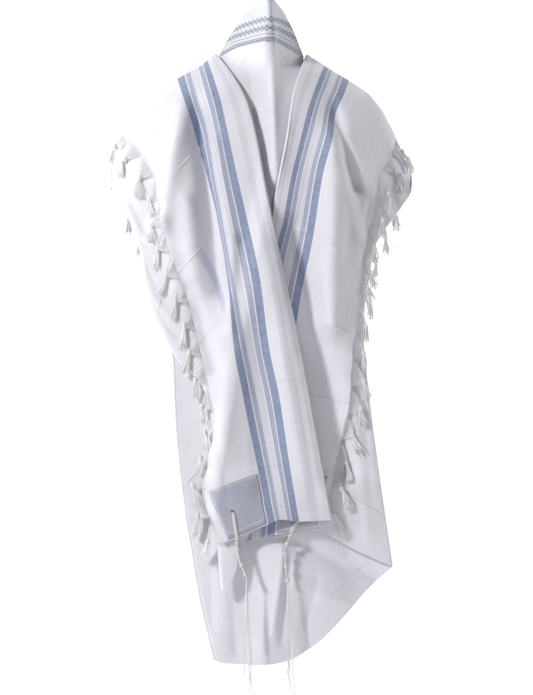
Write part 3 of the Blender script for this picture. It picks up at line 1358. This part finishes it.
def buildFringe(side, wing, material):
    left = side == "left"
    rng = np.random.default_rng(5 if left else 8)
    joined = wing["joined"]
    edge, inner = joined[:, 0], joined[:, 2]
    reach = reachOf(edge)
    tangent = unit(np.gradient(edge, axis=0))
    out = edge - inner
    out = unit(out - tangent * np.sum(out * tangent, axis=1, keepdims=True))
    smooth = np.ones(15) / 15
    padded = np.pad(out, ((7, 7), (0, 0)), mode="edge")
    out = unit(np.stack([np.convolve(padded[:, k], smooth, "valid") for k in range(3)], axis=-1))
    frames = (reach, edge, out, tangent)
    crest = reach[len(wing["grids"][0]) - 1]
    count = int(reach[-1] / fringe["pitch"])
    threads = ThreadMesh()
    down = np.array([0.0, 0.0, -1.0])
    for n in range(count):
        middle = (reach[-1] - count * fringe["pitch"]) / 2 + fringe["pitch"] * (n + 0.5)
        point, away, way = frameAlong(frames, middle)
        front = bool(middle > crest)
        leftBack = left and not front
        lean = unit(away * fringe["out"] + down * (1.0 - fringe["out"]))
        knot = point + lean * fringe["knotReach"] * rng.uniform(0.85, 1.12)
        knot = hungLevel(knot[None], front, leftBack)[0]
        heading = unit(down + away * rng.uniform(-0.15, 0.55) + way * rng.uniform(-0.45, 0.45))
        tip = knot + heading * fringe["tuft"] * rng.uniform(0.85, 1.2)
        across = unit(np.cross(heading, np.array([0.0, 1.0, 0.0])))
        for k in range(2 * fringe["threads"]):
            offset = (k - fringe["threads"] + 0.5) / fringe["threads"] * fringe["fanHalf"]
            at = np.clip(middle + offset, 0.0015, reach[-1] - 0.0015)
            root, rootOut, _ = frameAlong(frames, at)
            root = root - rootOut * fringe["rootInset"]
            into = knot + across * rng.normal(0.0, 0.0006) + np.array([0.0, rng.normal(0.0, 0.0005), 0.0])
            bend = root + rootOut * 0.010 + (knot - root) * 0.30
            upper = bezier(root, bend, into, 7)
            end = tip + across * rng.normal(0.0, fringe["tuftSpread"])
            end = end + heading * rng.uniform(-0.010, 0.004)
            wave = into + (end - into) * 0.5 + across * rng.normal(0.0, 0.0028)
            lower = bezier(into, wave, end, 7)[1:]
            loose = 0.0020 + 0.0022 * rng.random()
            path = np.concatenate((upper, hungLevel(lower, front, leftBack, 1.5, loose)))
            thick = np.where(np.arange(len(path)) < 7, fringe["threadRadius"], fringe["tuftRadius"])
            threads.add(path, thick * rng.uniform(0.85, 1.2), 5)
        core = np.stack([knot + heading * d for d in (-0.0052, -0.0026, 0.0, 0.0026, 0.0052)])
        swell = np.interp(np.linspace(0, 1, 24), [0, 0.5, 1], fringe["knotWrap"])
        threads.wrap(core, swell, 0.0014, 2.6, 5)
        threads.add(core, fringe["knotCore"], 8)
    obj = threads.finish(f"{side}FringeThreads", material)
    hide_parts(f"{side}_fringe")
    return obj


# Where each corner tassel's head hangs from the hem (x), and its path below (x, z)
tasselPaths = {
    "left_back": (-0.050, (-0.046, -1.008), (-0.031, -1.046)),
    "right_back": (0.058, (0.046, -1.000), (0.051, -1.060)),
    "front": (0.158, (0.160, -0.510), (0.159, -0.560)),
}
cornerTassel = {
    "hang": 0.245,
    "strands": 8,
    "strandRadius": 0.00085,
    "strandPoints": 26,
    "drift": 0.00075,
    "coreRadius": 0.0015,
    "windings": (7, 8, 11, 13),
    "knot": (0.0018, 0.0033, 0.0042, 0.0042, 0.0033, 0.0018),  # radius down a knot between windings
    "knotSteps": 3.4,  # length of a knot, in turns of the winding
    "underHem": 0.0065,
    "lean": 0.0045,
    "splay": 0.0055,
}


def hemUnder(row, x):
    a, b = min(zip(row, row[1:]), key=lambda pair: abs((pair[0][0] + pair[1][0]) / 2 - x))
    return a + (b - a) * (x - a[0]) / (b[0] - a[0])


def buildCornerTassels(side, wing, material, patches):
    made = []
    for (piece, hole), (front, place) in zip(patches, ((False, "back"), (True, "front"))):
        rng = np.random.default_rng(31 + 2 * front + (side == "left"))
        way = 1.0 if front else -1.0
        sign = -1.0 if side == "left" and front else 1.0
        path = tasselPaths[place if front else f"{side}_{place}"]
        hem = hemUnder(wing["grids"][front][-1], path[0] * sign)
        top = hem - np.array([0.0, 0.0, cornerTassel["underHem"]])
        spots = [top]
        for x, z in path[1:]:
            spots.append(np.array([x * sign, spots[-1][1] + way * cornerTassel["lean"], z]))
        head = along(curved(np.array(spots)), np.linspace(0, 1, 40))
        threads = ThreadMesh()
        eye = piece[(hole[0] + hole[1]) // 2, (hole[2] + hole[3]) // 2]
        half = cornerTassel["strands"] // 2
        for k in range(2 * half):
            shift = np.array([(k % half - (half - 1) / 2) * 0.0013, 0.0, 0.0])
            outer = k < half
            face = np.array([0.0, way * (0.0024 if outer else -0.0030), 0.0])
            begin = eye + np.array([0.0, -way * 0.0022, 0.0]) + shift * 0.6
            above = np.array([0.0, 0.0, 0.0012 if outer else -0.001])
            rise = eye + face * (1.2 if outer else 0.9) + shift + above
            over = hem + face + shift * 1.3
            into = top + shift * 0.4
            line = np.array([begin, rise, rise * 0.5 + over * 0.5 + face * 0.3, over, into])
            threads.add(along(curved(line), np.linspace(0, 1, 22)), cornerTassel["strandRadius"], 6)
        threads.add(head, cornerTassel["coreRadius"], 8)
        share, step = 0.0, 1.0 / (sum(cornerTassel["windings"]) + 5 * cornerTassel["knotSteps"])
        for turns in (*cornerTassel["windings"], 0):
            knotEnd = share + cornerTassel["knotSteps"] * step
            spot = along(head, np.linspace(share, min(1.0, knotEnd), 6))
            threads.add(spot, cornerTassel["knot"], 8)
            threads.wrap(spot, 0.0038, 0.0012, 2.0, 5)
            share = knotEnd
            if turns:
                wound = along(head, np.linspace(share, share + turns * step, 6))
                threads.wrap(wound, 0.0021, 0.0010, turns * 0.7, 4, 8)
                share += turns * step
        end = head[-1]
        for k in range(2 * half):
            angle = math.pi * k / half + 0.3
            apart = np.array([math.cos(angle) * 1.5, math.sin(angle) * 0.6, 0.0]) * cornerTassel["splay"]
            hang = cornerTassel["hang"] * rng.uniform(0.93, 1.03)
            t = np.linspace(0.0, 1.0, cornerTassel["strandPoints"])
            drift = np.cumsum(rng.normal(0.0, cornerTassel["drift"], (len(t), 3)), axis=0) * [1.0, 0.5, 0.0]
            drift = drift * np.sqrt(t)[:, None]
            twist = np.stack((np.cos(t * 11 + angle), np.sin(t * 11 + angle), 0 * t), axis=-1) * 0.0016
            bundle = np.array([0.006 * sign, way * 0.012, 0.0]) * t[:, None]
            line = end + apart * (t**1.5)[:, None] + drift
            line = line + twist * (1 - t * 0.5)[:, None] * t[:, None] + bundle
            line = line - np.array([0.0, 0.0, 1.0]) * (t * hang)[:, None]
            flick = np.array([0.0016, 0.0, 0.0022]) * rng.normal(0, 1.0)
            line[-3:] += flick * np.array([[0.2], [0.7], [1.5]])
            threads.add(line, cornerTassel["strandRadius"] * np.linspace(1.05, 0.8, len(t)), 5)
        obj = threads.finish(f"{side}{place.capitalize()}CornerTassel", material)
        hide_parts(f"{side}_{place}_corner_tassel")
        made.append(obj)
    return made


def curved(line, count=12):
    # A smooth line through points
    keys = reachOf(line)
    at = np.linspace(0.0, keys[-1], count * (len(line) - 1) + 1)
    return np.stack([curveAt(keys, line[:, k], at) for k in range(3)], axis=-1)


def main():
    buildCamera()
    buildStudio()
    print("camera and studio made")
    plain = clothMaterial("plainCloth", False)
    striped = {
        "left": clothMaterial("leftEndCloth", True, showsThrough=True),
        "right": clothMaterial("rightEndCloth", True),
    }
    satin = patchMaterial()
    thread = yarnMaterial("fringeYarn", yarn["fringe"])
    cord = yarnMaterial("tasselYarn", yarn["tassel"])
    buildSidePleat(buildPanel(plain), plain)
    buildNeckband(bandMaterial())
    print("back panel and neckband made")
    for side in ("left", "right"):
        turn = buildTurn(side, plain)
        wing = buildWing(side, striped[side])
        patches = buildPatches(side, wing, satin)
        hanging = [buildFringe(side, wing, thread)] + buildCornerTassels(side, wing, cord, patches)
        print(f"{side} end made")


main()
